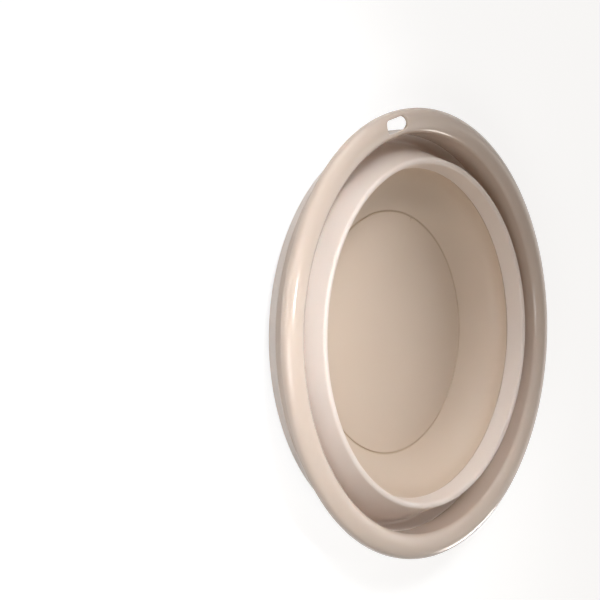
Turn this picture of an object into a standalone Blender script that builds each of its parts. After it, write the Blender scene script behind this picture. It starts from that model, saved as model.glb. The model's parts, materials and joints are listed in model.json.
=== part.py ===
"""Collapsible camp washbasin, folded flat, in metres with +Z up.

A hard rim and a hard base bowl are joined by one soft wall that folds down between them.
The soft wall is moulded over a tongue on each hard piece, and soft pads in pockets under
the base keep it from sliding. The basin's axis is Z, and it stands on its pads at Z = 0.
"""
import math

import bmesh
import bpy
from mathutils import Matrix, Vector

# Rim: a turned channel, open beneath, with a skirt down to the soft wall
RIM_OUTER_RADIUS = 0.1600
ROLL_HALF_WIDTH = 0.0088
ROLL_CROWN = 0.0060
LIP_LENGTH = 0.0022
RIM_WALL = 0.0022
SKIRT_LENGTH = 0.0180

# Hanging slot through the top of the rim
SLOT_LENGTH = 0.0240
SLOT_WIDTH = 0.0096

# Thick edges of the hard pieces, and the tongues that the soft wall grips
EDGE_THICKNESS = 0.0036
EDGE_HEIGHT = 0.0030
EDGE_TAPER = 0.0025
TONGUE_THICKNESS = 0.0010
TONGUE_LENGTH = 0.0040
GROOVE_FLOOR = 0.0010
SEAT_CLEARANCE = 0.0003

# Soft wall: from the rim in and down to a valley, up to a crest, down to the bowl
FOLD_WALL = 0.0019
RIM_TO_VALLEY_WIDTH = 0.0044
RIM_TO_VALLEY_DROP = 0.0092
VALLEY_BEND = 0.0034
VALLEY_TO_CREST_WIDTH = 0.0155
VALLEY_TO_CREST_RISE = 0.0291
CREST_BEND = 0.0024
CREST_TO_BOWL_WIDTH = 0.0047
CREST_TO_BOWL_DROP = 0.0109

# Base bowl and its foot ring
BOWL_SIDE_WIDTH = 0.0288
BOWL_DEPTH = 0.0251
FLOOR_HEIGHT = 0.0059
BASE_WALL = 0.0022
FLOOR_LINE_WIDTH = 0.0010
FLOOR_LINE_DEPTH = 0.0004
FOOT_RING_INSET = 0.0100
FOOT_RING_WIDTH = 0.0026
FOOT_RING_DEPTH = 0.0023

# Soft pads and the pockets that hold them
PAD_COUNT = 6
PAD_RADIUS = 0.0070
PAD_EDGE = 0.0005
POCKET_WALL = 0.0018
POCKET_DEPTH = 0.0019
POCKET_ROOF = 0.0008

# Cuts run past what they cut by this much, and joined shapes sink in by it
OVERRUN = 0.0010

# Fineness of the facets, and the bowl side's sweep as a share of a right angle
TURN_STEPS = 60
CROWN_STEPS = 12
BEND_STEPS = 7
LIP_STEPS = 4
BOWL_STEPS = 8
END_STEPS = 10
PAD_STEPS = 18
BOWL_SWEEP_SHARE = 0.89
MERGE_SHARE = 0.01
SHARP_DEGREES = 32.0

# Radii that follow, from the rim inwards
ROLL_RADIUS = RIM_OUTER_RADIUS - ROLL_HALF_WIDTH
SKIRT_RADIUS = ROLL_RADIUS - ROLL_HALF_WIDTH
VALLEY_RADIUS = SKIRT_RADIUS - RIM_TO_VALLEY_WIDTH
CREST_RADIUS = VALLEY_RADIUS - VALLEY_TO_CREST_WIDTH
BOWL_MOUTH_RADIUS = CREST_RADIUS - CREST_TO_BOWL_WIDTH
FLOOR_RADIUS = BOWL_MOUTH_RADIUS - BOWL_SIDE_WIDTH
FOOT_RING_RADIUS = FLOOR_RADIUS - FOOT_RING_INSET

# Heights that follow, from the floor of the bowl up and over the folds
BOWL_SEAM_HEIGHT = FLOOR_HEIGHT + BOWL_DEPTH
CREST_HEIGHT = BOWL_SEAM_HEIGHT + CREST_TO_BOWL_DROP
VALLEY_HEIGHT = CREST_HEIGHT - VALLEY_TO_CREST_RISE
RIM_SEAM_HEIGHT = VALLEY_HEIGHT + RIM_TO_VALLEY_DROP
ROLL_HEIGHT = RIM_SEAM_HEIGHT + SKIRT_LENGTH
RIM_TOP_HEIGHT = ROLL_HEIGHT + ROLL_CROWN
UNDERSIDE_HEIGHT = FLOOR_HEIGHT - BASE_WALL
POCKET_ROOF_HEIGHT = UNDERSIDE_HEIGHT - POCKET_ROOF

# Corners of the section that more than one piece follows
RIM_SEAM = Vector((SKIRT_RADIUS, RIM_SEAM_HEIGHT))
BOWL_SEAM = Vector((BOWL_MOUTH_RADIUS, BOWL_SEAM_HEIGHT))
VALLEY = Vector((VALLEY_RADIUS, VALLEY_HEIGHT))
CREST = Vector((CREST_RADIUS, CREST_HEIGHT))
TONGUE_INSET = (EDGE_THICKNESS - TONGUE_THICKNESS) / 2


def spoke(angle):
    """The unit vector at an angle in the plane of radius and height."""
    return Vector((math.cos(angle), math.sin(angle)))


def bearing(vector):
    """The angle of a vector in the plane of radius and height."""
    return math.atan2(vector.y, vector.x)


def arc(center, half_width, half_height, start, end, steps):
    """Points along an elliptical arc between two angles."""
    points = []
    for step in range(steps + 1):
        turn = spoke(start + (end - start) * step / steps)
        points.append(center + Vector((half_width * turn.x, half_height * turn.y)))
    return points


def bend(center, radius, start, end, steps):
    """Points along a circular arc between two angles."""
    return arc(center, radius, radius, start, end, steps)


class Fold:
    """The angles at which the soft wall's three straight flanks meet its two bends.

    The visible face runs round the inside of the valley and the outside of the crest.
    """
    valley_inside = VALLEY_BEND - FOLD_WALL
    crest_inside = CREST_BEND - FOLD_WALL

    to_rim = RIM_SEAM - VALLEY
    rim_flank = bearing(to_rim) - math.acos(valley_inside / to_rim.length)

    to_crest = CREST - VALLEY
    crossing = math.acos(-(valley_inside + CREST_BEND) / to_crest.length)
    main_flank = bearing(to_crest) - crossing

    to_bowl = BOWL_SEAM - CREST
    bowl_flank = bearing(to_bowl) - math.acos(CREST_BEND / to_bowl.length) + math.tau


class Seat:
    """Where the soft wall grips a tongue, measured along the wall and through it."""

    def __init__(self, seam, along, across):
        self.seam = seam
        self.along = along
        self.across = across

    def point(self, depth, through):
        return self.seam + self.along * depth + self.across * through

    def tongue(self):
        """The hard edge from its visible corner round the tongue to its hidden corner."""
        inner = TONGUE_INSET
        outer = EDGE_THICKNESS - TONGUE_INSET
        return [self.point(0, 0), self.point(0, inner), self.point(TONGUE_LENGTH, inner),
                self.point(TONGUE_LENGTH, outer), self.point(0, outer),
                self.point(0, EDGE_THICKNESS)]

    def groove(self):
        """The soft edge round the tongue, then its hidden side down to the plain wall."""
        top = SEAT_CLEARANCE
        bottom = TONGUE_LENGTH + SEAT_CLEARANCE
        inner = TONGUE_INSET - SEAT_CLEARANCE
        outer = EDGE_THICKNESS - TONGUE_INSET + SEAT_CLEARANCE
        shoulder = bottom + GROOVE_FLOOR
        return [self.point(top, 0), self.point(top, inner), self.point(bottom, inner),
                self.point(bottom, outer), self.point(top, outer),
                self.point(top, EDGE_THICKNESS), self.point(shoulder, EDGE_THICKNESS),
                self.point(shoulder + EDGE_TAPER, FOLD_WALL)]


RIM_ACROSS = spoke(Fold.rim_flank)
BOWL_ACROSS = -spoke(Fold.bowl_flank)
RIM_SEAT = Seat(RIM_SEAM, Vector((RIM_ACROSS.y, -RIM_ACROSS.x)), RIM_ACROSS)
BOWL_SEAT = Seat(BOWL_SEAM, Vector((-BOWL_ACROSS.y, BOWL_ACROSS.x)), BOWL_ACROSS)


def finish(name, color, roughness):
    """A plain Principled material in one colour."""
    made = bpy.data.materials.new(name)
    made.use_nodes = True
    shader = made.node_tree.nodes["Principled BSDF"]
    shader.inputs["Base Color"].default_value = (*color, 1)
    shader.inputs["Roughness"].default_value = roughness
    shader.inputs["Metallic"].default_value = 0
    return made


def piece(name, shape, material):
    """One object of a closed bmesh, shaded smooth except at its sharp edges."""
    bmesh.ops.recalc_face_normals(shape, faces=shape.faces)
    mesh = bpy.data.meshes.new(name)
    shape.to_mesh(mesh)
    shape.free()
    mesh.shade_smooth()
    mesh.set_sharp_from_angle(angle=math.radians(SHARP_DEGREES))
    made = bpy.data.objects.new(name, mesh)
    bpy.context.scene.collection.objects.link(made)
    if material:
        made.data.materials.append(material)
    return made


def turned(outline, closed):
    """Turn an outline of (radius, height) points once round Z."""
    shape = bmesh.new()
    corners = [shape.verts.new((point.x, 0, point.y)) for point in outline]
    pairs = list(zip(corners, corners[1:]))
    if closed:
        pairs.append((corners[-1], corners[0]))
    edges = [shape.edges.new(pair) for pair in pairs]
    bmesh.ops.spin(shape, geom=corners + edges, cent=(0, 0, 0), axis=(0, 0, 1),
                   angle=math.tau, steps=TURN_STEPS, use_merge=True)
    bmesh.ops.remove_doubles(shape, verts=shape.verts, dist=SEAT_CLEARANCE * MERGE_SHARE)
    return shape


def post(shape, x, y, radius, bottom, top):
    """Add an upright round post to a bmesh and give back its vertices."""
    place = Matrix.Translation((x, y, (bottom + top) / 2))
    made = bmesh.ops.create_cone(shape, cap_ends=True, segments=PAD_STEPS, radius1=radius,
                                 radius2=radius, depth=top - bottom, matrix=place)
    return made["verts"]


def combine(target, other, operation):
    """Join or cut a piece with a helper shape that is itself left out."""
    other.hide_render = True
    other.display_type = "WIRE"
    change = target.modifiers.new(other.name, "BOOLEAN")
    change.object = other
    change.operation = operation
    change.solver = "EXACT"


def carried(made, holder):
    """Carry a piece by the empty at its joint."""
    made.parent = holder


def rim_outline():
    """The rim's section: up the skirt, over the roll, round the lip and back inside."""
    center = Vector((ROLL_RADIUS, ROLL_HEIGHT))
    lip_radius = RIM_WALL / 2
    lip_center = Vector((RIM_OUTER_RADIUS - lip_radius, ROLL_HEIGHT - LIP_LENGTH))
    hidden_corner = RIM_SEAT.point(0, EDGE_THICKNESS)
    flare_top = RIM_SEAM_HEIGHT + EDGE_HEIGHT
    outline = arc(center, ROLL_HALF_WIDTH, ROLL_CROWN, math.pi, 0, CROWN_STEPS)
    outline += bend(lip_center, lip_radius, 0, -math.pi, LIP_STEPS)
    outline += arc(center, ROLL_HALF_WIDTH - RIM_WALL, ROLL_CROWN - RIM_WALL, 0, math.pi,
                   CROWN_STEPS - LIP_STEPS)
    outline.append(Vector((SKIRT_RADIUS + RIM_WALL, flare_top + EDGE_TAPER)))
    outline.append(Vector((hidden_corner.x, flare_top)))
    return outline + list(reversed(RIM_SEAT.tongue()))


def slot_cutter():
    """A round-ended bar, long along the rim, that stands through the roll on -X."""
    shape = bmesh.new()
    end_radius = SLOT_WIDTH / 2
    end_offset = Vector((0, (SLOT_LENGTH - SLOT_WIDTH) / 2))
    section = bend(end_offset, end_radius, 0, math.pi, END_STEPS)
    section += bend(-end_offset, end_radius, math.pi, math.tau, END_STEPS)
    bottom = ROLL_HEIGHT - LIP_LENGTH
    corners = [shape.verts.new((point.x - ROLL_RADIUS, point.y, bottom)) for point in section]
    floor = shape.faces.new(corners)
    risen = bmesh.ops.extrude_face_region(shape, geom=[floor])
    raised = [item for item in risen["geom"] if isinstance(item, bmesh.types.BMVert)]
    rise = RIM_TOP_HEIGHT + OVERRUN - bottom
    bmesh.ops.translate(shape, verts=raised, vec=(0, 0, rise))
    return piece("slot_cutter", shape, None)


def fold_outline():
    """The soft wall's section: its visible face, then its hidden face."""
    valley_start = Fold.rim_flank
    valley_end = Fold.main_flank - math.pi
    crest_start = Fold.main_flank
    crest_end = Fold.bowl_flank
    visible = bend(VALLEY, Fold.valley_inside, valley_start, valley_end, LIP_STEPS)
    visible += bend(CREST, CREST_BEND, crest_start, crest_end, BEND_STEPS)
    hidden = bend(CREST, Fold.crest_inside, crest_end, crest_start, LIP_STEPS)
    hidden += bend(VALLEY, VALLEY_BEND, valley_end, valley_start, BEND_STEPS)
    return visible + BOWL_SEAT.groove() + hidden + list(reversed(RIM_SEAT.groove()))


def bowl_outline():
    """The base's section, from the axis out underneath, round the mouth and back in."""
    sweep = BOWL_SWEEP_SHARE * math.pi / 2
    half_width = (BOWL_MOUTH_RADIUS - FLOOR_RADIUS) / (1 - math.cos(sweep))
    half_height = (BOWL_SEAM_HEIGHT - FLOOR_HEIGHT) / math.sin(sweep)
    center = Vector((BOWL_MOUTH_RADIUS - half_width, BOWL_SEAM_HEIGHT))
    hidden_corner = BOWL_SEAT.point(0, EDGE_THICKNESS)
    flare_bottom = hidden_corner.y - EDGE_HEIGHT
    outer_height = half_height + BASE_WALL
    outer_start = math.asin((BOWL_SEAM_HEIGHT - flare_bottom + EDGE_TAPER) / outer_height)
    outer_end = math.asin((BOWL_SEAM_HEIGHT - UNDERSIDE_HEIGHT) / outer_height)
    ring_outer = FOOT_RING_RADIUS + FOOT_RING_WIDTH / 2
    ring_inner = FOOT_RING_RADIUS - FOOT_RING_WIDTH / 2
    ring_bottom = UNDERSIDE_HEIGHT - FOOT_RING_DEPTH
    side = arc(center, half_width, half_height, 0, -sweep, BOWL_STEPS)
    outside = arc(center, half_width + BASE_WALL, outer_height, -outer_end, -outer_start,
                  BOWL_STEPS - 1)
    outline = [Vector((0, UNDERSIDE_HEIGHT)),
               Vector((ring_inner, UNDERSIDE_HEIGHT)), Vector((ring_inner, ring_bottom)),
               Vector((ring_outer, ring_bottom)), Vector((ring_outer, UNDERSIDE_HEIGHT))]
    outline += outside
    outline.append(Vector((hidden_corner.x, flare_bottom)))
    outline += reversed(BOWL_SEAT.tongue())
    outline += side[1:]
    outline.append(Vector((FLOOR_RADIUS - FLOOR_LINE_WIDTH / 2, FLOOR_HEIGHT - FLOOR_LINE_DEPTH)))
    outline.append(Vector((FLOOR_RADIUS - FLOOR_LINE_WIDTH, FLOOR_HEIGHT)))
    outline.append(Vector((0, FLOOR_HEIGHT)))
    return outline


def pad_places():
    """Where the pads stand, evenly round the foot ring from +X."""
    for number in range(PAD_COUNT):
        turn = spoke(math.tau * number / PAD_COUNT)
        yield turn.x * FOOT_RING_RADIUS, turn.y * FOOT_RING_RADIUS


def pad_posts(name, radius, bottom, top):
    """One post at each pad's place, as a helper shape."""
    shape = bmesh.new()
    for x, y in pad_places():
        post(shape, x, y, radius, bottom, top)
    return piece(name, shape, None)


def pad(number, x, y, material):
    """One soft pad, with its lower edge broken so that it sits flat."""
    shape = bmesh.new()
    post(shape, x, y, PAD_RADIUS, 0, POCKET_ROOF_HEIGHT - SEAT_CLEARANCE)
    rim_edges = [edge for edge in shape.edges if all(vert.co.z == 0 for vert in edge.verts)]
    bmesh.ops.bevel(shape, geom=rim_edges, offset=PAD_EDGE, offset_type="OFFSET",
                    segments=2, profile=0.5, affect="EDGES", material=-1)
    return piece(f"foot_pad_{number}", shape, material)


for old in list(bpy.data.objects):
    bpy.data.objects.remove(old, do_unlink=True)

hard_beige = finish("hard_beige", (0.66, 0.55, 0.46), 0.22)
bowl_beige = finish("bowl_beige", (0.62, 0.51, 0.42), 0.34)
soft_white = finish("soft_white", (0.80, 0.75, 0.72), 0.48)
pad_white = finish("pad_white", (0.74, 0.69, 0.65), 0.62)

base_frame = bpy.data.objects.new("base_frame", None)
rim_slide = bpy.data.objects.new("rim_slide", None)
for empty in (base_frame, rim_slide):
    bpy.context.scene.collection.objects.link(empty)
rim_slide.parent = base_frame

rim = piece("rim_ring", turned(rim_outline(), True), hard_beige)
combine(rim, slot_cutter(), "DIFFERENCE")
carried(rim, rim_slide)

fold = piece("fold_wall", turned(fold_outline(), True), soft_white)
carried(fold, base_frame)

bowl = piece("base_bowl", turned(bowl_outline(), False), bowl_beige)
pocket_radius = PAD_RADIUS + SEAT_CLEARANCE
boss_bottom = POCKET_ROOF_HEIGHT - POCKET_DEPTH
combine(bowl, pad_posts("pocket_bosses", pocket_radius + POCKET_WALL, boss_bottom,
                        UNDERSIDE_HEIGHT + OVERRUN), "UNION")
combine(bowl, pad_posts("pocket_cutters", pocket_radius, boss_bottom - OVERRUN,
                        POCKET_ROOF_HEIGHT), "DIFFERENCE")
carried(bowl, base_frame)

for index, (pad_x, pad_y) in enumerate(pad_places(), start=1):
    carried(pad(index, pad_x, pad_y, pad_white), base_frame)
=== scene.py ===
import json
import math

import bmesh
import bpy
from mathutils import Matrix, Vector


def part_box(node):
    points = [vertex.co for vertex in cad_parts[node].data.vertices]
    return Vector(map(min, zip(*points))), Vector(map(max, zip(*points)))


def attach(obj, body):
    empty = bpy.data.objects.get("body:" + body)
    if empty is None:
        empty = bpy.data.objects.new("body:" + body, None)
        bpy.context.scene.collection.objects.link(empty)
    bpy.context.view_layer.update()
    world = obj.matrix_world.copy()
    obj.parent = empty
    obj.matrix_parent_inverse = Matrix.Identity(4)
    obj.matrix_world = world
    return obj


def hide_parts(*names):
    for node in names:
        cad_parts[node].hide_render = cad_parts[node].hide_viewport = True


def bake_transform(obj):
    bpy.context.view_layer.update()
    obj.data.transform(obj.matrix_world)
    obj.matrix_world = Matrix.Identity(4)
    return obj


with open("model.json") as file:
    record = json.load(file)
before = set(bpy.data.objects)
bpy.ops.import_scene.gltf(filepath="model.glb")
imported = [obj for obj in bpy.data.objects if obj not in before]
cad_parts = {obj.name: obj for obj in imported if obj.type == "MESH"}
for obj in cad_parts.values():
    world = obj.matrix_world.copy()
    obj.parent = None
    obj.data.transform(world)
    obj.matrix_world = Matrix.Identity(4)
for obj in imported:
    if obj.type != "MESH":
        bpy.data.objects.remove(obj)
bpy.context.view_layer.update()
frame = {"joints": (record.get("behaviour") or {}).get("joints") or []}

# Rim: one glossy polypropylene moulding, a rolled channel that is open beneath, with a
# skirt on its inner side that ends in a tongue, over which the soft wall is moulded.
# A round-ended hanging slot with a softened lip goes through its top.
RIM_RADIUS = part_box("rim_ring")[1].x
RIM_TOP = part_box("rim_ring")[1].z
ROLL_HALF_WIDTH = 0.0088
ROLL_CROWN = 0.0060
RIM_WALL = 0.0022
LIP_LENGTH = 0.0022
SKIRT_LENGTH = 0.0180
ROLL_RADIUS = RIM_RADIUS - ROLL_HALF_WIDTH
ROLL_HEIGHT = RIM_TOP - ROLL_CROWN
SKIRT_RADIUS = ROLL_RADIUS - ROLL_HALF_WIDTH
CHANNEL_HALF_WIDTH = ROLL_HALF_WIDTH - RIM_WALL
CHANNEL_CROWN = ROLL_CROWN - RIM_WALL

# The folds of the soft wall, which set how the rim's edge and the bowl's edge lean
FOLD_WALL = 0.0019
VALLEY_BEND = 0.0034
CREST_BEND = 0.0024
VALLEY_INSIDE = VALLEY_BEND - FOLD_WALL
CREST_INSIDE = CREST_BEND - FOLD_WALL
RIM_SEAM = Vector((SKIRT_RADIUS, ROLL_HEIGHT - SKIRT_LENGTH))
RIM_TO_VALLEY = Vector((-0.0044, -0.0092))
VALLEY_TO_CREST = Vector((-0.0155, 0.0291))
CREST_TO_BOWL = Vector((-0.0047, -0.0109))
VALLEY = RIM_SEAM + RIM_TO_VALLEY
CREST = VALLEY + VALLEY_TO_CREST
BOWL_SEAM = CREST + CREST_TO_BOWL

# The edge at each seam, thickened for the tongue in its middle
EDGE_THICKNESS = 0.0036
EDGE_HEIGHT = 0.0030
EDGE_TAPER = 0.0025
TONGUE_THICKNESS = 0.0010
TONGUE_LENGTH = 0.0040
TONGUE_INSET = (EDGE_THICKNESS - TONGUE_THICKNESS) / 2
GROOVE_FLOOR = 0.0010
SEAT_CLEARANCE = 0.0003
SEAM_SOFTNESS = 0.00025
CORNER_SOFTNESS = 0.0006
WELD = SEAT_CLEARANCE / 100

TURN_STEPS = 240
FINE_STEPS = 8
ROUNDING_STEPS = 4


def spoke(angle):
    """The unit vector at an angle in the plane of radius and height."""
    return Vector((math.cos(angle), math.sin(angle)))


def bearing(vector):
    """The angle of a vector in the plane of radius and height."""
    return math.atan2(vector.y, vector.x)


class Section:
    """A closed outline in the plane of radius and height, to be turned round Z."""

    def __init__(self):
        self.shape = bmesh.new()
        self.softness = self.shape.verts.layers.float.new("softness")
        self.back = self.shape.verts.layers.float.new("back")
        self.corners = []

    def corner(self, point, softness=0.0, back=0.0):
        """Adds a corner. Softness rounds it, and back is 1 on the soft wall's hidden side."""
        made = self.shape.verts.new((point.x, 0, point.y))
        made[self.softness] = softness
        made[self.back] = back
        self.corners.append(made)

    def arc(self, center, half_width, half_height, start, end, steps, back=0.0):
        """Adds part of an ellipse, from one angle to another."""
        for step in range(steps + 1):
            turn = spoke(start + (end - start) * step / steps)
            place = center + Vector((half_width * turn.x, half_height * turn.y))
            self.corner(place, 0.0, back)

    def bend(self, center, radius, start, end, steps, back=0.0):
        """Adds part of a circle, from one angle to another."""
        self.arc(center, radius, radius, start, end, steps, back)

    def close(self, from_axis=False):
        """Joins the corners up, welds the doubled ones and rounds the soft ones."""
        joints = self.corners + ([] if from_axis else self.corners[:1])
        for pair in zip(joints, joints[1:]):
            self.shape.edges.new(pair)
        bmesh.ops.remove_doubles(self.shape, verts=self.shape.verts, dist=WELD)
        for softness in sorted({vert[self.softness] for vert in self.shape.verts} - {0.0}):
            rounded = [vert for vert in self.shape.verts if vert[self.softness] == softness]
            bmesh.ops.bevel(self.shape, geom=rounded, offset=softness, offset_type="OFFSET",
                            segments=ROUNDING_STEPS, profile=0.5, affect="VERTICES",
                            material=-1)
            for vert in self.shape.verts:
                if vert[self.softness] == softness:
                    vert[self.softness] = 0.0

    def divide(self, longest):
        """Cuts the long straight runs into pieces of about one length."""
        for edge in self.shape.edges[:]:
            cuts = int(edge.calc_length() / longest)
            if cuts:
                bmesh.ops.subdivide_edges(self.shape, edges=[edge], cuts=cuts)

    def turned(self, steps):
        """The outline spun once round Z, as a closed shape with its faces outward."""
        geometry = self.shape.verts[:] + self.shape.edges[:]
        bmesh.ops.spin(self.shape, geom=geometry, cent=(0, 0, 0), axis=(0, 0, 1),
                       angle=math.tau, steps=steps, use_merge=True)
        bmesh.ops.remove_doubles(self.shape, verts=self.shape.verts, dist=WELD)
        bmesh.ops.recalc_face_normals(self.shape, faces=self.shape.faces)
        return self.shape


class Seat:
    """Where the soft wall grips a tongue, measured along the wall and through it."""

    def __init__(self, seam, along, across):
        self.seam = seam
        self.along = along
        self.across = across

    def point(self, depth, through):
        """The place at a depth along the wall and at a distance through it."""
        return self.seam + self.along * depth + self.across * through

    def tongue(self):
        """The hard edge: its visible corner, the tongue and its hidden corner."""
        inner = TONGUE_INSET
        outer = EDGE_THICKNESS - TONGUE_INSET
        return [(self.point(0, 0), SEAM_SOFTNESS), (self.point(0, inner), 0.0),
                (self.point(TONGUE_LENGTH, inner), 0.0),
                (self.point(TONGUE_LENGTH, outer), 0.0),
                (self.point(0, outer), 0.0), (self.point(0, EDGE_THICKNESS), SEAM_SOFTNESS)]

    def groove(self):
        """The soft edge: its visible corner, the groove and its hidden corners."""
        bottom = TONGUE_LENGTH + SEAT_CLEARANCE
        inner = TONGUE_INSET - SEAT_CLEARANCE
        outer = EDGE_THICKNESS - TONGUE_INSET + SEAT_CLEARANCE
        shoulder = bottom + GROOVE_FLOOR
        return [(self.point(SEAT_CLEARANCE, 0), SEAM_SOFTNESS, 0.0),
                (self.point(SEAT_CLEARANCE, inner), 0.0, 0.0),
                (self.point(bottom, inner), 0.0, 0.0), (self.point(bottom, outer), 0.0, 1.0),
                (self.point(SEAT_CLEARANCE, outer), 0.0, 1.0),
                (self.point(SEAT_CLEARANCE, EDGE_THICKNESS), SEAM_SOFTNESS, 1.0),
                (self.point(shoulder, EDGE_THICKNESS), CORNER_SOFTNESS, 1.0),
                (self.point(shoulder + EDGE_TAPER, FOLD_WALL), CORNER_SOFTNESS, 1.0)]


to_rim = RIM_SEAM - VALLEY
to_crest = CREST - VALLEY
to_bowl = BOWL_SEAM - CREST
rim_flank = bearing(to_rim) - math.acos(VALLEY_INSIDE / to_rim.length)
main_flank = bearing(to_crest) - math.acos(-(VALLEY_INSIDE + CREST_BEND) / to_crest.length)
bowl_flank = bearing(to_bowl) - math.acos(CREST_BEND / to_bowl.length) + math.tau
rim_across = spoke(rim_flank)
bowl_across = -spoke(bowl_flank)
rim_seat = Seat(RIM_SEAM, Vector((rim_across.y, -rim_across.x)), rim_across)
bowl_seat = Seat(BOWL_SEAM, Vector((-bowl_across.y, bowl_across.x)), bowl_across)

# The slot lies on -X, long along the rim, in a window that is a whole number of steps
SLOT_LENGTH = 0.0240
SLOT_WIDTH = 0.0096
SLOT_LIP = 0.0012
SLOT_LIP_STEPS = 6
SLOT_END_STEPS = 22
SLOT_SPINE = (SLOT_LENGTH - SLOT_WIDTH) / 2
WINDOW_STEPS = 6
WINDOW_CROWN_STEPS = 26
WINDOW_MARGIN = 0.0018
WINDOW_HALF_WIDTH = SLOT_WIDTH / 2 + WINDOW_MARGIN
UNDER_HALF_WIDTH = SLOT_WIDTH / 2 + SLOT_LIP

roll_center = Vector((ROLL_RADIUS, ROLL_HEIGHT))
lip_radius = RIM_WALL / 2
lip_center = Vector((RIM_RADIUS - lip_radius, ROLL_HEIGHT - LIP_LENGTH))
window_turn = math.acos(WINDOW_HALF_WIDTH / ROLL_HALF_WIDTH)
under_turn = math.acos(UNDER_HALF_WIDTH / CHANNEL_HALF_WIDTH)
flare_top = RIM_SEAM.y + EDGE_HEIGHT

rim_section = Section()
for start, end, steps in ((math.pi, math.pi - window_turn, FINE_STEPS),
                          (math.pi - window_turn, window_turn, WINDOW_CROWN_STEPS),
                          (window_turn, 0, FINE_STEPS)):
    rim_section.arc(roll_center, ROLL_HALF_WIDTH, ROLL_CROWN, start, end, steps)
rim_section.bend(lip_center, lip_radius, 0, -math.pi, FINE_STEPS)
for start, end, steps in ((0, under_turn, FINE_STEPS),
                          (under_turn, math.pi - under_turn, WINDOW_CROWN_STEPS),
                          (math.pi - under_turn, math.pi, FINE_STEPS)):
    rim_section.arc(roll_center, CHANNEL_HALF_WIDTH, CHANNEL_CROWN, start, end, steps)
rim_section.corner(Vector((SKIRT_RADIUS + RIM_WALL, flare_top + EDGE_TAPER)), CORNER_SOFTNESS)
rim_section.corner(Vector((rim_seat.point(0, EDGE_THICKNESS).x, flare_top)), CORNER_SOFTNESS)
for corner in reversed(rim_seat.tongue()):
    rim_section.corner(*corner)
rim_section.close()
rim_shape = rim_section.turned(TURN_STEPS)


def roll_surface(place):
    """Height of the roll's skin above a place on the rim."""
    offset = (place.xy.length - ROLL_RADIUS) / ROLL_HALF_WIDTH
    return ROLL_HEIGHT + ROLL_CROWN * math.sqrt(1 - offset * offset)


def channel_surface(place):
    """Height of the channel's roof above a place on the rim."""
    offset = (place.xy.length - ROLL_RADIUS) / CHANNEL_HALF_WIDTH
    return ROLL_HEIGHT + CHANNEL_CROWN * math.sqrt(1 - offset * offset)


def open_window(surface, half_width):
    """Takes a surface's faces away round the slot."""
    skin = []
    for face in rim_shape.faces:
        center = face.calc_center_median()
        turn = math.pi - abs(math.atan2(center.y, center.x))
        offset = abs(center.xy.length - ROLL_RADIUS)
        if turn < math.tau * WINDOW_STEPS / TURN_STEPS and offset < half_width:
            if abs(center.z - surface(center)) < RIM_WALL / 2:
                skin.append(face)
    bmesh.ops.delete(rim_shape, geom=skin, context="FACES")


def open_edges(surface):
    """The edges of the hole that is open in a surface."""
    found = []
    for edge in rim_shape.edges:
        if edge.is_boundary:
            middle = (edge.verts[0].co + edge.verts[1].co) / 2
            if abs(middle.z - surface(middle)) < RIM_WALL / 3:
                found.append(edge)
    return found


def slot_ring(half_width, surface):
    """A ring of edges on a surface, that far from the slot's spine all round."""
    half_step = Matrix.Rotation(math.pi / (2 * SLOT_END_STEPS), 4, "Z")
    ring = bmesh.ops.create_circle(rim_shape, segments=2 * SLOT_END_STEPS,
                                   radius=half_width, matrix=half_step)["verts"]
    for vert in ring:
        vert.co.x -= ROLL_RADIUS
        vert.co.y += math.copysign(SLOT_SPINE, vert.co.y)
    sides = [edge for edge in rim_shape.edges
             if edge.is_wire and edge.calc_length() > SLOT_SPINE]
    cuts = 2 * WINDOW_STEPS + WINDOW_CROWN_STEPS - SLOT_END_STEPS
    bmesh.ops.subdivide_edges(rim_shape, edges=sides, cuts=cuts)
    ring = [edge for edge in rim_shape.edges if edge.is_wire]
    for vert in {vert for edge in ring for vert in edge.verts}:
        vert.co.z = surface(vert.co)
    return ring


def fill_round_slot(half_width, surface, rows):
    """Closes the window down to the slot, with rows of vertices that lie on the surface."""
    ring = slot_ring(half_width, surface)
    window = open_edges(surface)
    made = bmesh.ops.bridge_loops(rim_shape, edges=window + ring)
    rungs = {edge for face in made["faces"] for edge in face.edges} - set(window) - set(ring)
    cut = bmesh.ops.subdivide_edges(rim_shape, edges=list(rungs), cuts=rows)
    for item in cut["geom_inner"]:
        if isinstance(item, bmesh.types.BMVert):
            item.co.z = surface(item.co)


def drawn_in(ring, half_width, sink):
    """Extrudes a ring of the slot inwards and down, and gives back the new ring."""
    made = bmesh.ops.extrude_edge_only(rim_shape, edges=ring)["geom"]
    fresh = {item for item in made if isinstance(item, bmesh.types.BMVert)}
    for vert in fresh:
        along = max(-SLOT_SPINE, min(SLOT_SPINE, vert.co.y))
        outward = Vector((vert.co.x + ROLL_RADIUS, vert.co.y - along)).normalized()
        vert.co.x = outward.x * half_width - ROLL_RADIUS
        vert.co.y = outward.y * half_width + along
        vert.co.z = roll_surface(vert.co) - sink
    return list({edge for vert in fresh for edge in vert.link_edges
                 if edge.other_vert(vert) in fresh})


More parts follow.
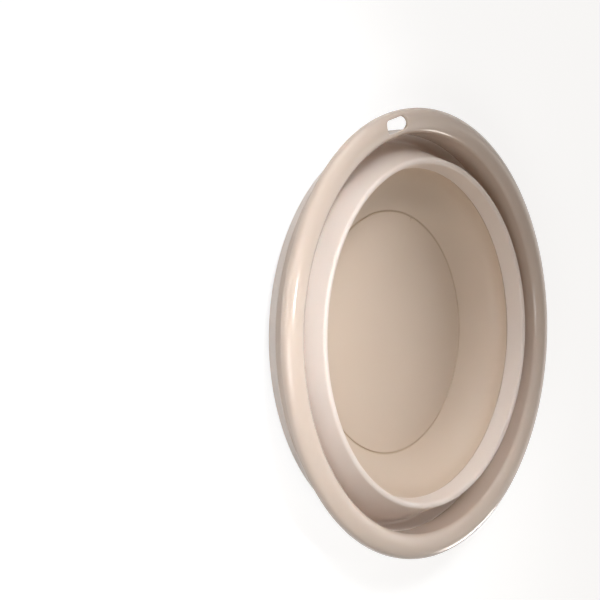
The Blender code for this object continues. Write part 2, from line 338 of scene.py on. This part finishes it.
open_window(roll_surface, WINDOW_HALF_WIDTH)
open_window(channel_surface, UNDER_HALF_WIDTH)
fill_round_slot(SLOT_WIDTH / 2 + SLOT_LIP, roll_surface, rows=3)
lip_ring = open_edges(roll_surface)
for step in range(1, SLOT_LIP_STEPS + 1):
    turn = spoke(math.pi / 2 * step / SLOT_LIP_STEPS)
    lip_ring = drawn_in(lip_ring, SLOT_WIDTH / 2 + SLOT_LIP * (1 - turn.y),
                        SLOT_LIP * (1 - turn.x))
fill_round_slot(SLOT_WIDTH / 2, channel_surface, rows=1)
slot_edges = [edge for edge in rim_shape.edges if edge.is_boundary]
bmesh.ops.bridge_loops(rim_shape, edges=slot_edges)
bmesh.ops.recalc_face_normals(rim_shape, faces=rim_shape.faces)


class Signal:
    """A value that changes over a surface, so that shader maths reads as arithmetic."""

    def __init__(self, finish, socket):
        self.finish = finish
        self.socket = socket

    def joined(self, operation, first, second):
        """What a Math node makes of two values."""
        return self.finish.node("ShaderNodeMath", {"operation": operation},
                                {0: first, 1: second})

    def __add__(self, other):
        return self.joined("ADD", self, other)

    def __sub__(self, other):
        return self.joined("SUBTRACT", self, other)

    def __rsub__(self, other):
        return self.joined("SUBTRACT", other, self)

    def __mul__(self, other):
        return self.joined("MULTIPLY", self, other)

    __radd__ = __add__
    __rmul__ = __mul__


PATCH_LOW = 0.3
PATCH_HIGH = 0.7


class Finish:
    """The nodes of a material or of the room, with patterns that lie on Object coordinates."""

    def __init__(self, name, shelf=bpy.data.materials, shader="Principled BSDF"):
        self.material = shelf.new(name)
        self.material.use_nodes = True
        self.tree = self.material.node_tree
        self.shader = self.tree.nodes[shader]
        self.place = self.node("ShaderNodeTexCoord", {}, {}, "Object")

    def node(self, kind, settings, inputs, output=0):
        """Adds a node: its settings first, then its inputs' values or links."""
        made = self.tree.nodes.new(kind)
        for name, value in settings.items():
            setattr(made, name, value)
        self.feed(made, inputs)
        return Signal(self, made.outputs[output])

    def feed(self, node, inputs):
        """Sets a node's inputs to values, or links them to signals."""
        for key, value in inputs.items():
            if isinstance(value, Signal):
                self.tree.links.new(value.socket, node.inputs[key])
            else:
                node.inputs[key].default_value = value

    def noise(self, grain, detail):
        """Cloudy values from 0 to 1, with clouds about as wide as the grain."""
        return self.node("ShaderNodeTexNoise", {},
                         {"Vector": self.place, "Scale": 1 / grain, "Detail": detail})

    def between(self, value, low, high):
        """A smooth rise from 0 to 1 as a value goes from low to high."""
        return self.node("ShaderNodeMapRange", {"interpolation_type": "SMOOTHSTEP"},
                         {"Value": value, "From Min": low, "From Max": high})

    def patches(self, grain, detail):
        """Patches of 0 and 1 that run softly into each other."""
        return self.between(self.noise(grain, detail), PATCH_LOW, PATCH_HIGH)

    def tint(self, share, first, second):
        """One colour turning into another."""
        return self.node("ShaderNodeMix", {"data_type": "RGBA"},
                         {0: share, 6: first, 7: second}, 2)

    def relief(self, height, depth):
        """A normal from a height between 0 and 1 that stands for a real depth."""
        return self.node("ShaderNodeBump", {}, {"Height": height, "Distance": depth})

    def height(self):
        """The height above the ground."""
        return self.node("ShaderNodeSeparateXYZ", {}, {"Vector": self.place}, "Z")


CLOUD_SIZE = 0.070
RUB_SIZE = 0.012
PEEL_SIZE = 0.0030
PEEL_DEPTH = 0.000003
GRAIN_SIZE = 0.0004
GRAIN_SHARE = 0.15


def plastic(name, light, deep, roughness, spread):
    """Moulded polypropylene: cloudy colour, a faint orange peel and handling marks."""
    made = Finish(name)
    peel = made.noise(PEEL_SIZE, 1.0) + made.noise(GRAIN_SIZE, 2.0) * GRAIN_SHARE
    made.color = made.tint(made.patches(CLOUD_SIZE, 3.0), light, deep)
    made.feed(made.shader, {
        "Base Color": made.color,
        "Roughness": made.patches(RUB_SIZE, 2.0) * spread + roughness,
        "Normal": made.relief(peel, PEEL_DEPTH),
        "IOR": 1.49,
        "Subsurface Weight": 0.12,
        "Subsurface Radius": (1.0, 0.7, 0.5),
        "Subsurface Scale": 0.003,
    })
    return made


SHARP_EDGE = math.radians(34.0)


def piece(name, shape, finish):
    """A finished shape as an object at the origin, smooth except at its sharp edges."""
    mesh = bpy.data.meshes.new(name)
    shape.to_mesh(mesh)
    shape.free()
    for layer in ("softness", "back"):
        if layer in mesh.attributes:
            mesh.attributes.remove(mesh.attributes[layer])
    mesh.shade_smooth()
    mesh.set_sharp_from_angle(angle=SHARP_EDGE)
    mesh.materials.append(finish.material)
    made = bpy.data.objects.new(name, mesh)
    bpy.context.scene.collection.objects.link(made)
    return made


glossy_beige = plastic("glossy_beige", light=(0.665, 0.546, 0.459, 1),
                       deep=(0.65, 0.532, 0.446, 1), roughness=0.16, spread=0.03)
rim = piece("rolled_rim", rim_shape, glossy_beige)
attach(rim, "rim")
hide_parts("rim_ring")

# Soft wall: one thermoplastic elastomer moulding that joins the rim to the bowl. From the
# rim it folds down to a valley, up to a crest and down to the bowl, and it grips a tongue
# at each end.
LIFT = frame["joints"][0]["range_m"][1]
BEAD = TONGUE_LENGTH + SEAT_CLEARANCE + GROOVE_FLOOR
BEAD_EASE = 0.0030
LONGEST_RUN = 0.0012

rim_groove = rim_seat.groove()
fold_section = Section()
fold_section.corner(*rim_groove[0])
fold_section.bend(VALLEY, VALLEY_INSIDE, rim_flank, main_flank - math.pi, FINE_STEPS)
fold_section.bend(CREST, CREST_BEND, main_flank, bowl_flank, 2 * FINE_STEPS)
for corner in bowl_seat.groove():
    fold_section.corner(*corner)
fold_section.bend(CREST, CREST_INSIDE, bowl_flank, main_flank, FINE_STEPS, 1.0)
fold_section.bend(VALLEY, VALLEY_BEND, main_flank - math.pi, rim_flank, 2 * FINE_STEPS, 1.0)
for corner in reversed(rim_groove[1:]):
    fold_section.corner(*corner)
fold_section.close()
fold_section.divide(LONGEST_RUN)

# The open cone between the beads, for each point's share of the rim's lift: none at the bowl's
# bead and all at the rim's
low_end = bowl_seat.point(BEAD, 0)
high_end = rim_seat.point(BEAD, 0) + Vector((0, LIFT))
cone = high_end - low_end
cone_depth = FOLD_WALL * cone.length / cone.x


def eased(share):
    """A smooth step from 0 to 1."""
    share = max(0.0, min(1.0, share))
    return share * share * (3 - 2 * share)


def share_of_lift(radius, height, back):
    """The share of the rim's lift that brings a point of the wall onto the open cone."""
    level = low_end.y + cone.y * (radius - low_end.x) / cone.x - back * cone_depth
    share = (level - height) / LIFT
    if radius < CREST.x:
        return share * eased((height - low_end.y) / BEAD_EASE)
    if radius > VALLEY.x:
        return 1 + (share - 1) * eased((rim_seat.point(BEAD, 0).y - height) / BEAD_EASE)
    return share


fold_shape = fold_section.turned(TURN_STEPS)
lift_layer = fold_shape.verts.layers.float.new("share_of_lift")
for vert in fold_shape.verts:
    vert[lift_layer] = share_of_lift(vert.co.xy.length, vert.co.z, vert[fold_section.back])

SKIN_SPREAD = 0.12


def elastomer(name, light, deep, roughness, stipple_size, stipple_depth):
    """Moulded elastomer: a satin skin with a fine stipple, in two tones that lie close."""
    made = Finish(name)
    made.feed(made.shader, {
        "Base Color": made.tint(made.patches(CLOUD_SIZE, 3.0), light, deep),
        "Roughness": made.noise(RUB_SIZE, 4.0) * SKIN_SPREAD + roughness,
        "Normal": made.relief(made.noise(stipple_size, 2.0), stipple_depth),
        "IOR": 1.50,
        "Subsurface Weight": 0.25,
        "Subsurface Radius": (1.0, 0.8, 0.7),
        "Subsurface Scale": 0.003,
    })
    return made


soft_white = elastomer("soft_white_skin", light=(0.810, 0.711, 0.648, 1),
                       deep=(0.795, 0.697, 0.633, 1), roughness=0.40,
                       stipple_size=0.0008, stipple_depth=0.000004)
fold = piece("folding_wall", fold_shape, soft_white)
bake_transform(fold)
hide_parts("fold_wall")

fold.data.attributes.remove(fold.data.attributes["share_of_lift"])

# Base bowl: one satin polypropylene moulding with a curved side, a flat floor with a fine
# line round it, a tongue at its mouth, and beneath it a foot ring and six pad pockets.
BOWL_SIDE_WIDTH = 0.0288
BOWL_DEPTH = 0.0251
BOWL_SWEEP = math.radians(80.1)
BASE_WALL = 0.0022
FLOOR_HEIGHT = BOWL_SEAM.y - BOWL_DEPTH
FLOOR_RADIUS = BOWL_SEAM.x - BOWL_SIDE_WIDTH
UNDERSIDE = FLOOR_HEIGHT - BASE_WALL
FLOOR_LINE_WIDTH = 0.0012
FLOOR_LINE_DEPTH = 0.0006
FLOOR_LINE_SOFTNESS = 0.0002
FOOT_RING_INSET = 0.0100
FOOT_RING_RADIUS = FLOOR_RADIUS - FOOT_RING_INSET
FOOT_RING_WIDTH = 0.0026
FOOT_RING_DEPTH = 0.0023
SIDE_STEPS = 28

side_width = BOWL_SIDE_WIDTH / (1 - math.cos(BOWL_SWEEP))
side_height = BOWL_DEPTH / math.sin(BOWL_SWEEP)
side_center = Vector((BOWL_SEAM.x - side_width, BOWL_SEAM.y))
outer_height = side_height + BASE_WALL
flare_bottom = bowl_seat.point(0, EDGE_THICKNESS).y - EDGE_HEIGHT
outer_start = math.asin((BOWL_SEAM.y - flare_bottom + EDGE_TAPER) / outer_height)
outer_end = math.asin((BOWL_SEAM.y - UNDERSIDE) / outer_height)
ring_bottom = UNDERSIDE - FOOT_RING_DEPTH

bowl_section = Section()
bowl_section.corner(Vector((0, UNDERSIDE)))
for offset, height, softness in ((-0.5, UNDERSIDE, CORNER_SOFTNESS),
                                 (-0.5, ring_bottom, CORNER_SOFTNESS),
                                 (0.5, ring_bottom, CORNER_SOFTNESS),
                                 (0.5, UNDERSIDE, CORNER_SOFTNESS)):
    place = Vector((FOOT_RING_RADIUS + offset * FOOT_RING_WIDTH, height))
    bowl_section.corner(place, softness)
bowl_section.arc(side_center, side_width + BASE_WALL, outer_height, -outer_end, -outer_start,
                 SIDE_STEPS)
bowl_section.corner(Vector((bowl_seat.point(0, EDGE_THICKNESS).x, flare_bottom)),
                    CORNER_SOFTNESS)
for corner in reversed(bowl_seat.tongue()):
    bowl_section.corner(*corner)
bowl_section.arc(side_center, side_width, side_height, 0, -BOWL_SWEEP, SIDE_STEPS)
bowl_section.corner(Vector((FLOOR_RADIUS - FLOOR_LINE_WIDTH / 2,
                            FLOOR_HEIGHT - FLOOR_LINE_DEPTH)), FLOOR_LINE_SOFTNESS)
bowl_section.corner(Vector((FLOOR_RADIUS - FLOOR_LINE_WIDTH, FLOOR_HEIGHT)),
                    FLOOR_LINE_SOFTNESS)
bowl_section.corner(Vector((0, FLOOR_HEIGHT)))
bowl_section.close(from_axis=True)
bowl_shape = bowl_section.turned(TURN_STEPS)

# The pads' pockets, in bosses that stand on the foot ring
PAD_COUNT = 6
BOSS_RADIUS = 0.0091
BOSS_BOTTOM = 0.0010
BOSS_SOFTNESS = 0.0004
POCKET_RADIUS = 0.0073
POCKET_TOP = 0.0029
DISC_STEPS = 64
pads = [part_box(f"foot_pad_{number}") for number in range(1, PAD_COUNT + 1)]


def disc(box, radius, low, high, softness):
    """A round disc on a pad's axis, with the edge of its lower face softened."""
    section = Section()
    section.corner(Vector((0, low)))
    section.corner(Vector((radius, low)), softness)
    section.corner(Vector((radius, high)))
    section.corner(Vector((0, high)))
    section.close(from_axis=True)
    shape = section.turned(DISC_STEPS)
    middle = (box[0] + box[1]) / 2
    bmesh.ops.translate(shape, verts=shape.verts, vec=(middle.x, middle.y, 0))
    return shape


def discs(radius, low, high, softness):
    """Such a disc on every pad's axis, as one shape."""
    made = bmesh.new()
    for box in pads:
        shape = disc(box, radius, low, high, softness)
        spare = bpy.data.meshes.new("disc")
        shape.to_mesh(spare)
        shape.free()
        made.from_mesh(spare)
        bpy.data.meshes.remove(spare)
    return made


def combined(shape, tool, operation):
    """A closed shape with a tool's solid joined to it or cut out of it."""
    blanks = []
    for body in (shape, tool):
        mesh = bpy.data.meshes.new("blank")
        body.to_mesh(mesh)
        body.free()
        blanks.append(bpy.data.objects.new("blank", mesh))
        bpy.context.scene.collection.objects.link(blanks[-1])
    cutter = blanks[0].modifiers.new("cutter", "BOOLEAN")
    cutter.operation = operation
    cutter.solver = "EXACT"
    cutter.object = blanks[1]
    made = bmesh.new()
    made.from_object(blanks[0], bpy.context.evaluated_depsgraph_get())
    for blank in blanks:
        mesh = blank.data
        bpy.data.objects.remove(blank)
        bpy.data.meshes.remove(mesh)
    return made


bosses = discs(BOSS_RADIUS, BOSS_BOTTOM, (UNDERSIDE + FLOOR_HEIGHT) / 2, BOSS_SOFTNESS)
bowl_shape = combined(bowl_shape, bosses, "UNION")
pockets = discs(POCKET_RADIUS, -FOOT_RING_DEPTH, POCKET_TOP, 0.0)

# A small nick beside the floor line, cut in the same pass
NICK_RADIUS = 0.0013
NICK_DEPTH = 0.0007
NICK_PLACE = Vector((-0.0718, 0.0479, FLOOR_HEIGHT + NICK_RADIUS - NICK_DEPTH))
bmesh.ops.create_icosphere(pockets, subdivisions=3, radius=NICK_RADIUS,
                           matrix=Matrix.Translation(NICK_PLACE))
bowl_shape = combined(bowl_shape, pockets, "DIFFERENCE")

satin_beige = plastic("satin_beige", light=(0.650, 0.524, 0.416, 1),
                      deep=(0.635, 0.511, 0.404, 1), roughness=0.42, spread=0.05)

# Painted shade: the floor line is browned in the colour, standing in for the shade that falls
# in its groove
FLOOR_LINE_SHADE = (0.42, 0.30, 0.19, 1)
PAINTED_SHADE_REACH = 0.0014
PAINTED_SHADE_CORE = 0.0003
PAINTED_SHADE_SHARE = 0.62
sideways = satin_beige.node("ShaderNodeVectorMath", {"operation": "MULTIPLY"},
                            {0: satin_beige.place, 1: (1, 1, 0)})
off_axis = satin_beige.node("ShaderNodeVectorMath", {"operation": "LENGTH"},
                            {0: sideways}, "Value")
off_line = satin_beige.node("ShaderNodeMath", {"operation": "ABSOLUTE"},
                            {0: off_axis - (FLOOR_RADIUS - FLOOR_LINE_WIDTH / 2)})
inside = satin_beige.between(satin_beige.height(), UNDERSIDE, FLOOR_HEIGHT - FLOOR_LINE_DEPTH)
# The painted shade is strongest over the floor line and fades out a little beside it, on the
# bowl's upper face only
painted_shade = (1 - satin_beige.between(off_line, PAINTED_SHADE_CORE, PAINTED_SHADE_REACH)) * inside * PAINTED_SHADE_SHARE
satin_beige.feed(satin_beige.shader, {
    "Base Color": satin_beige.tint(painted_shade, satin_beige.color, FLOOR_LINE_SHADE),
})

bowl = piece("base_shell", bowl_shape, satin_beige)
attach(bowl, "base")
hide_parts("base_bowl")

# Foot pads: six soft elastomer discs, on which the basin rests. Each is moulded into a
# pocket in the bowl's underside and stands proud of it.
PAD_RADIUS = 0.0070
PAD_EDGE = 0.0005

pad_white = elastomer("pad_white_skin", light=(0.78, 0.74, 0.70, 1),
                      deep=(0.74, 0.70, 0.66, 1), roughness=0.55,
                      stipple_size=0.0006, stipple_depth=0.00002)
for number, box in enumerate(pads, start=1):
    pad_shape = disc(box, PAD_RADIUS, box[0].z, box[1].z, PAD_EDGE)
    pad = piece(f"pad_{number}", pad_shape, pad_white)
    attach(pad, "base")
    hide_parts(f"foot_pad_{number}")

# Floor: a plain pale sheet, white to the camera and in reflections, that keeps the shadow.
# It lies just beneath the pads, so that no two faces share one plane.
FLOOR_SIZE = 40.0
FLOOR_GAP = 0.0001
PAPER_GREY = (0.45, 0.45, 0.45, 1)
PAPER_GLOW = 0.80
WHITE = (1, 1, 1, 1)

floor_shape = bmesh.new()
bmesh.ops.create_grid(floor_shape, x_segments=1, y_segments=1, size=FLOOR_SIZE / 2,
                      matrix=Matrix.Translation((0, 0, -FLOOR_GAP)))
floor_mesh = bpy.data.meshes.new("floor")
floor_shape.to_mesh(floor_mesh)
floor_shape.free()
floor = bpy.data.objects.new("floor", floor_mesh)
bpy.context.scene.collection.objects.link(floor)


def white_to_view(finish):
    """1 for the rays that show the background, and 0 for those that light the object."""
    rays = finish.tree.nodes.new("ShaderNodeLightPath").outputs
    seen = Signal(finish, rays["Is Camera Ray"])
    mirrored = Signal(finish, rays["Is Glossy Ray"])
    through = Signal(finish, rays["Is Transmission Ray"])
    return finish.node("ShaderNodeClamp", {}, {0: seen + mirrored + through})


paper = Finish("floor_paper")
paper.feed(paper.shader, {
    "Base Color": PAPER_GREY,
    "Roughness": 0.9,
    "Specular IOR Level": 0.0,
    "Emission Color": WHITE,
    "Emission Strength": white_to_view(paper) * PAPER_GLOW,
})
floor_mesh.materials.append(paper.material)

# Light: a dim warm room that the camera sees as white, six soft lamps aimed at the basin's
# middle, and two with a narrow spread, each aimed at one place on its near side.
ROOM_LIGHT = 0.10
ROOM_TONE = (1.0, 0.74, 0.48, 1)

room = Finish("pale_room", bpy.data.worlds, "Background")
in_view = white_to_view(room)
room.feed(room.shader, {
    "Color": room.tint(in_view, ROOM_TONE, WHITE),
    "Strength": in_view * (1 - ROOM_LIGHT) + ROOM_LIGHT,
})
bpy.context.scene.world = room.material

BASIN_MIDDLE = (0, 0, 0.030)
WARM = (1.0, 0.93, 0.86)
COOL = (0.96, 0.98, 1.0)


def lamp(name, azimuth, elevation, distance, size, power, color, aim=BASIN_MIDDLE,
         spread=180):
    """A square lamp, aimed at a point. Its azimuth is 0 where it stands in front, on -Y."""
    around = math.radians(azimuth)
    up = math.radians(elevation)
    away = Vector((math.sin(around) * math.cos(up), -math.cos(around) * math.cos(up),
                   math.sin(up)))
    light = bpy.data.lights.new(name, "AREA")
    light.shape = "SQUARE"
    light.size = size
    light.energy = power
    light.color = color
    light.spread = math.radians(spread)
    made = bpy.data.objects.new(name, light)
    made.visible_camera = False
    made.location = Vector(aim) + away * distance
    made.rotation_mode = "QUATERNION"
    made.rotation_quaternion = away.to_track_quat("Z", "Y")
    bpy.context.scene.collection.objects.link(made)
    return made


lamp("left_window", azimuth=-109, elevation=15, distance=1.8, size=1.0, power=7.2, color=COOL)
lamp("back_window", azimuth=160, elevation=20, distance=1.8, size=1.0, power=3.0, color=WARM)
lamp("right_window", azimuth=71, elevation=20, distance=1.8, size=1.0, power=1.6, color=WARM)
lamp("front_lamp", azimuth=-4, elevation=33, distance=0.6, size=0.2, power=1.0, color=COOL)
lamp("low_left_lamp", azimuth=-30, elevation=6, distance=1.0, size=0.4, power=1.2, color=COOL)
lamp("low_back_lamp", azimuth=130, elevation=4, distance=1.2, size=0.3, power=2.6, color=WARM)
wide_beam = lamp("wide_beam", azimuth=-75, elevation=45, distance=0.7, size=0.40, power=0.285,
                 color=COOL, aim=(0.0, -0.13, 0.03), spread=25)
wide_beam.visible_glossy = False
lamp("thin_beam", azimuth=-88, elevation=81, distance=1.6, size=0.06, power=0.06,
     color=COOL, aim=(-0.05, -0.14, 0.046), spread=14)

# Camera: looks into the basin from 40 degrees above its rim, with the picture turned so
# that the basin's axis points to the right.
CAMERA_AZIMUTH = math.radians(-19.0)
CAMERA_ELEVATION = math.radians(40.25)
CAMERA_ROLL = math.radians(90.64)
CAMERA_DISTANCE = 0.97256
CAMERA_RIGHT = -0.09143
CAMERA_UP = 0.02360
SIGHT_HEIGHT = 0.0380
FOCAL_LENGTH = 81.6
SENSOR_WIDTH = 36.0

toward = Vector((math.sin(CAMERA_AZIMUTH) * math.cos(CAMERA_ELEVATION),
                 -math.cos(CAMERA_AZIMUTH) * math.cos(CAMERA_ELEVATION),
                 math.sin(CAMERA_ELEVATION)))
level = Vector((math.cos(CAMERA_AZIMUTH), math.sin(CAMERA_AZIMUTH), 0))
above = toward.cross(level)
picture_right = math.cos(CAMERA_ROLL) * level + math.sin(CAMERA_ROLL) * above
picture_up = math.cos(CAMERA_ROLL) * above - math.sin(CAMERA_ROLL) * level
stand = (Vector((0, 0, SIGHT_HEIGHT)) + toward * CAMERA_DISTANCE
         + picture_right * CAMERA_RIGHT + picture_up * CAMERA_UP)
lens = bpy.data.cameras.new("camera")
lens.lens = FOCAL_LENGTH
lens.sensor_width = SENSOR_WIDTH
camera = bpy.data.objects.new("camera", lens)
facing = Matrix((picture_right, picture_up, toward)).transposed()
camera.matrix_world = Matrix.Translation(stand) @ facing.to_4x4()
bpy.context.scene.collection.objects.link(camera)
bpy.context.scene.camera = camera
bpy.context.scene.view_settings.view_transform = "Standard"
